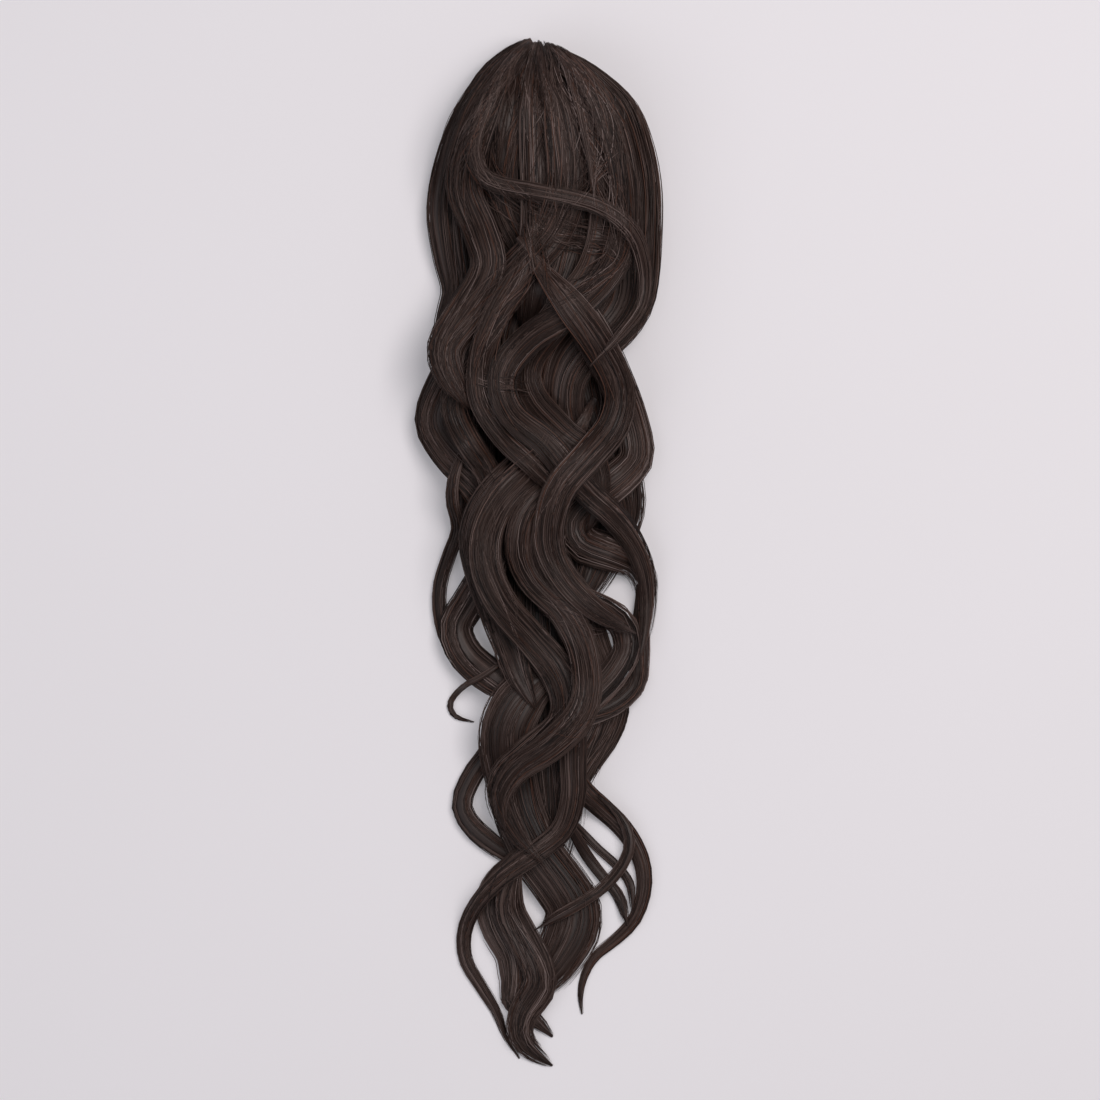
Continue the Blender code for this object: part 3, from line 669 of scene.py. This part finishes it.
def add_combed(piece, rng, flat, length):
    """Thin strands along draped paths, each drawn to a point at both ends. A path that
    leaves the hair, or that would hang down the side of a lock, isn't used."""
    height = height_at(flat, cover, cover_low)
    on_hair = (height > LEAST_COVER).mean(axis=1) > LEAST_ON_HAIR
    hanging = np.abs(np.diff(height, axis=1)).max(axis=1) > STEEPEST_STEP
    flat = flat[on_hair & ~hanging]
    if not len(flat):
        return
    count, rows = flat.shape[:2]
    share = np.linspace(0, 1, rows)
    thin = np.minimum(1, np.minimum(share, 1 - share) * 8) * 0.9 + 0.1
    radii = rng.uniform(0.6, 1.0, count)[:, None] * STRAND_RADIUS * thin
    clump = rng.integers(0, max(2, count // 6), count)
    rings = strand_tubes(drape(flat, cover, cover_low), radii)
    piece.add_strands(rings, *shade_strands(rng, count, clump), length)


def combed_over(rng, path, side, spread, length, count):
    """Plan paths side by side along a run, each over its own stretch of it."""
    rows = max(12, int(0.6 * length / STRAND_ROW_SPACING))
    start = rng.uniform(0, 0.5, count)
    end = np.minimum(start + rng.uniform(0.35, 0.8, count), 1.0)
    place = start[:, None] + (end - start)[:, None] * np.linspace(0, 1, rows)
    table = np.column_stack((path, side, spread))
    here = spline_at(table, place.ravel() * (len(path) - 1)).reshape(count, rows, -1)
    offset = rng.uniform(-1, 1, count)[:, None] + slow_noise(rng, rows, count, 4).T * 0.14
    return here[..., :2] + (offset * here[..., 4])[..., None] * here[..., 2:4]


def crown_fan(rng, count):
    """Plan paths that leave the crown's point and open to its outline: across is the share u
    of the outline's half width, sin(pi/2 (along / length)^rounding)."""
    rows = 22
    clump = rng.integers(0, CROWN_FAN_CLUMPS, count)
    clump_place = rng.uniform(-0.95, 0.95, CROWN_FAN_CLUMPS)
    outward = clump_place[clump] + rng.normal(0, 0.03, count)
    start = 0.003 + 0.008 * np.abs(outward)
    along = start[:, None] + rng.uniform(0.05, 0.20, count)[:, None] * np.linspace(0, 1, rows)
    opening = np.sin(np.pi / 2 * np.minimum(along / CROWN_FAN_LENGTH, 1) ** CROWN_FAN_ROUNDING)
    sway = slow_noise(rng, rows, CROWN_FAN_CLUMPS, 4).T[clump] * 0.09
    outward = outward[:, None] + sway + slow_noise(rng, rows, count, 4).T * 0.02
    across = outward * opening * np.where(outward < 0, 0.90, 0.98)
    return on_table(np.column_stack((along.ravel(), across.ravel()))).reshape(count, rows, 2)


cover, cover_low = cover_heights(hair_tops)
rng = np.random.default_rng(900)
fan = Piece()
add_combed(fan, rng, crown_fan(rng, CROWN_FAN_STRANDS), CROWN_FAN_LENGTH * HAIR_LENGTH)
fan.build("crown_fan_hair", fibre)
# Groups of loose hairs that run across the locks: half the group's width in metres, its
# number of hairs, and its bends as shares below the crown and across
CROSS_FLOWS = (
    (0.008, 60, ((0.175, -0.10), (0.19, 0.12), (0.195, 0.35), (0.20, 0.58), (0.215, 0.74))),
    (0.006, 40, ((0.19, 0.66), (0.215, 0.62), (0.235, 0.42), (0.25, 0.18), (0.262, -0.05))),
    (0.005, 30, ((0.105, 0.62), (0.125, 0.52), (0.145, 0.38), (0.165, 0.26))),
    (0.005, 30, ((0.10, 0.30), (0.125, 0.42), (0.15, 0.56), (0.19, 0.68), (0.24, 0.74))),
    (0.008, 50, ((0.10, -0.50), (0.135, -0.42), (0.165, -0.20), (0.18, 0.05), (0.19, 0.30))),
    (0.006, 40, ((0.20, 0.12), (0.235, -0.02), (0.265, -0.25), (0.30, -0.45), (0.34, -0.56))),
    (0.006, 36, ((0.14, -0.02), (0.18, -0.04), (0.215, 0.02), (0.25, 0.04))),
    (0.004, 24, ((0.33, -0.55), (0.336, -0.30), (0.34, -0.05))),
    (0.007, 40, ((0.545, -0.02), (0.56, 0.22), (0.575, 0.45), (0.58, 0.70))),
    (0.006, 30, ((0.665, 0.05), (0.668, 0.30), (0.655, 0.55), (0.635, 0.78))),
)
COMBED_LOCKS = (*MIDDLE_LOCKS, *TOP_LOCKS, "tail_panel_lock", "tail_left_lock",
                "tail_middle_lock", "tail_cross_lock", "right_middle_lock", "left_bulge_lock")
combed = Piece()
for node in COMBED_LOCKS:
    centre, side, _, half_width, _, length = lock_runs[node]
    count = int(2 * half_width.max() / COMBED_SPACING)
    flat = combed_over(rng, centre[:, :2], side[:, :2], COMBED_SPREAD * half_width, length, count)
    add_combed(combed, rng, flat, length)
for spread, count, bends in CROSS_FLOWS:
    plan = on_table(bends)
    places, length = even_places(plan, ROW_SPACING, FEWEST_STATIONS)
    path = spline_at(plan, places)
    spreads = np.full(len(path), spread)
    add_combed(combed, rng, combed_over(rng, path, sides_of(path), spreads, length, count), length)
combed.build("combed_hair", fibre)


# Table: a plain pale matt board that the hairpiece lies on, with a faint mottle. It also glows
# faintly, painted light that lifts the hair's shadow on it.
table_board, tree, output = new_material("glowing_matt_board")
place = add_node(tree, "ShaderNodeTexCoord")
mottle = add_node(tree, "ShaderNodeTexNoise", None,
                  {"Vector": place.outputs["Object"], "Scale": 3.0, "Detail": 2.0})
board_colour = add_node(tree, "ShaderNodeMix", {"data_type": "RGBA"},
                        {"Factor": mottle.outputs["Fac"], "A": linear("#dcd9dc"),
                         "B": linear("#e0dde1")})
# The board's emission is painted light: it glows faintly and fills in the hair's shadow on it.
board = add_node(tree, "ShaderNodeBsdfPrincipled", None,
                 {"Base Color": board_colour.outputs["Result"], "Roughness": 0.9,
                  "Emission Color": linear("#dddbdf"), "Emission Strength": 0.225})
finish_with(tree, output, board)
TABLE_HALF = 3.0
corners = np.array(((-1, -1, 0), (1, -1, 0), (1, 1, 0), (-1, 1, 0))) * TABLE_HALF
corners[:, 2] = -0.0002
mesh = bpy.data.meshes.new("table_top")
mesh.from_pydata(corners.tolist(), [], [(0, 1, 2, 3)])
mesh.materials.append(table_board)
table_top = bpy.data.objects.new("table_top", mesh)
bpy.context.scene.collection.objects.link(table_top)


# Light: two large soft boxes in a pale even room, the stronger one up and to the right of the
# piece and the weaker one down and to its left.
def soft_box(name, place, aim, size, power, colour):
    """Square area light at place, turned so that it shines at aim."""
    lamp = bpy.data.lights.new(name, "AREA")
    lamp.size = size
    lamp.energy = power
    lamp.color = linear(colour)[:3]
    thing = bpy.data.objects.new(name, lamp)
    back = unit(np.array(place, float) - aim)
    right = unit(np.cross((0.0, 1.0, 0.001), back))
    turned = Matrix(np.column_stack((right, np.cross(back, right), back)).tolist()).to_4x4()
    turned.translation = place
    thing.matrix_world = turned
    bpy.context.scene.collection.objects.link(thing)


middle = np.zeros(3)
soft_box("key_box", (0.6, 0.5, 1.8), middle, 1.1, 23.0, "#fffaf8")
soft_box("fill_box", (-1.2, -0.5, 1.8), middle, 1.8, 9.0, "#f6f8ff")
room = bpy.data.worlds.new("pale_room")
room.use_nodes = True
room.node_tree.nodes["Background"].inputs["Color"].default_value = linear("#f2f0f4")
room.node_tree.nodes["Background"].inputs["Strength"].default_value = 0.22
bpy.context.scene.world = room


# Camera: straight above, as in the photo, far off so that the dome keeps its place.
PHOTO_PIXELS = 1100
PIXEL = HAIR_LENGTH / 1029
PHOTO_MIDDLE = np.array((550 - 538.5, 552.5 - 550)) * PIXEL
CAMERA_HEIGHT = 6.0
camera_data = bpy.data.cameras.new("overhead_camera")
camera_data.sensor_width = 36.0
camera_data.lens = 36.0 * CAMERA_HEIGHT / (PHOTO_PIXELS * PIXEL)
camera_data.clip_start = 0.1
camera_data.clip_end = 50.0
camera = bpy.data.objects.new("overhead_camera", camera_data)
camera.location = (PHOTO_MIDDLE[0], PHOTO_MIDDLE[1], CAMERA_HEIGHT)
bpy.context.scene.collection.objects.link(camera)
bpy.context.scene.camera = camera
bpy.context.scene.view_settings.view_transform = "Standard"
